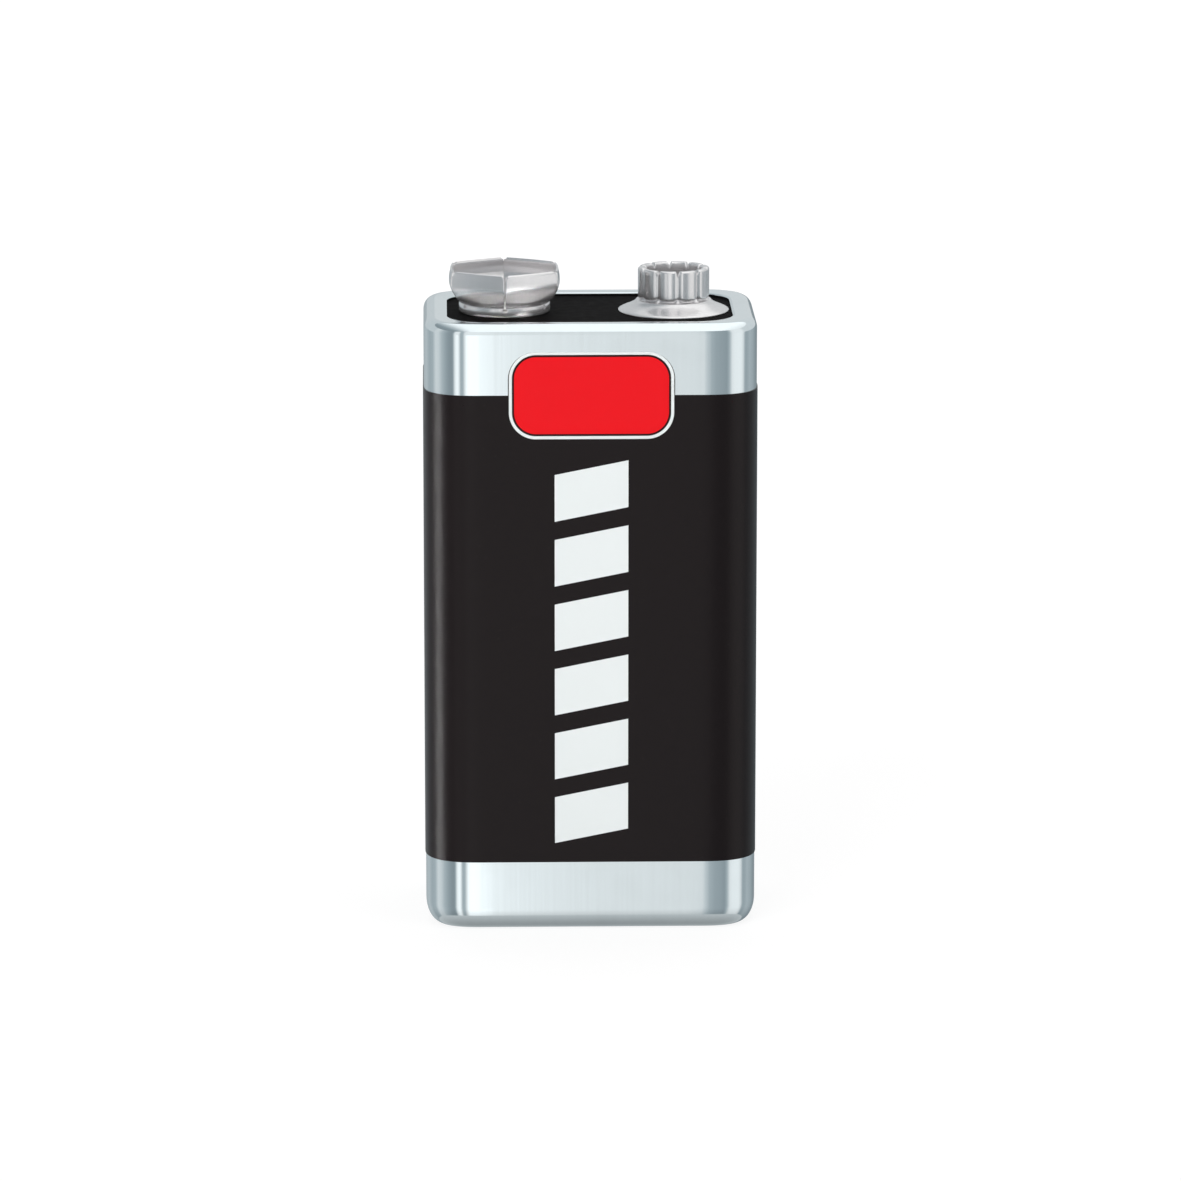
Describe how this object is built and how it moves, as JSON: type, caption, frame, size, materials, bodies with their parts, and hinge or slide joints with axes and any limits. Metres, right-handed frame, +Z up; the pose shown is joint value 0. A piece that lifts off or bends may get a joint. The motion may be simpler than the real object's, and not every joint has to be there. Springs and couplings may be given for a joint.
{
  "type": "nine volt battery",
  "caption": "Rectangular nine volt snap battery with a folded steel jacket, a printed label and a socket and a stud on top.",
  "frame": {"origin": "centre of the base, on the surface that the battery stands on", "axes": "+Z up from the base to the terminals, +X along the wide side towards the positive stud, -Y towards the printed front"},
  "size_m": [0.0246, 0.0163, 0.0485],
  "materials": {
    "bright_steel": "bright pale silver sheet",
    "label_film": "gloss black printed film",
    "board_black": "matt black board",
    "plate_black": "matt black plate",
    "nickel": "bright nickel plate",
    "eyelet_metal": "nickel plated",
    "tinned_steel": "dull tin plate",
    "tape_film": "pale adhesive tape",
    "liner_card": "brown card",
    "wrap_film": "clear film",
    "pad_card": "grey card",
    "zinc": "zinc with a carbon coat below",
    "separator_paper": "pasted paper",
    "cathode_black": "pressed black powder",
    "envelope_film": "moulded film tray"
  },
  "bodies": {
    "root": {"jacket": "bright_steel", "label": "label_film", "terminal_board": "board_black", "base_plate": "plate_black", "negative_socket": "nickel", "positive_stud": "nickel", "socket_eyelet": "eyelet_metal", "stud_eyelet": "eyelet_metal", "stud_lead": "tinned_steel", "socket_lead": "tinned_steel", "lead_tape": "tape_film", "card_liner": "liner_card", "stack_wrap": "wrap_film", "bottom_contact": "tinned_steel", "top_contact": "tinned_steel", "top_pad": "pad_card", "zinc_plate_1": "zinc", "separator_1": "separator_paper", "cathode_cake_1": "cathode_black", "cell_envelope_1": "envelope_film", "zinc_plate_2": "zinc", "separator_2": "separator_paper", "cathode_cake_2": "cathode_black", "cell_envelope_2": "envelope_film", "zinc_plate_3": "zinc", "separator_3": "separator_paper", "cathode_cake_3": "cathode_black", "cell_envelope_3": "envelope_film", "zinc_plate_4": "zinc", "separator_4": "separator_paper", "cathode_cake_4": "cathode_black", "cell_envelope_4": "envelope_film", "zinc_plate_5": "zinc", "separator_5": "separator_paper", "cathode_cake_5": "cathode_black", "cell_envelope_5": "envelope_film", "zinc_plate_6": "zinc", "separator_6": "separator_paper", "cathode_cake_6": "cathode_black", "cell_envelope_6": "envelope_film"}
  },
  "joints": []
}
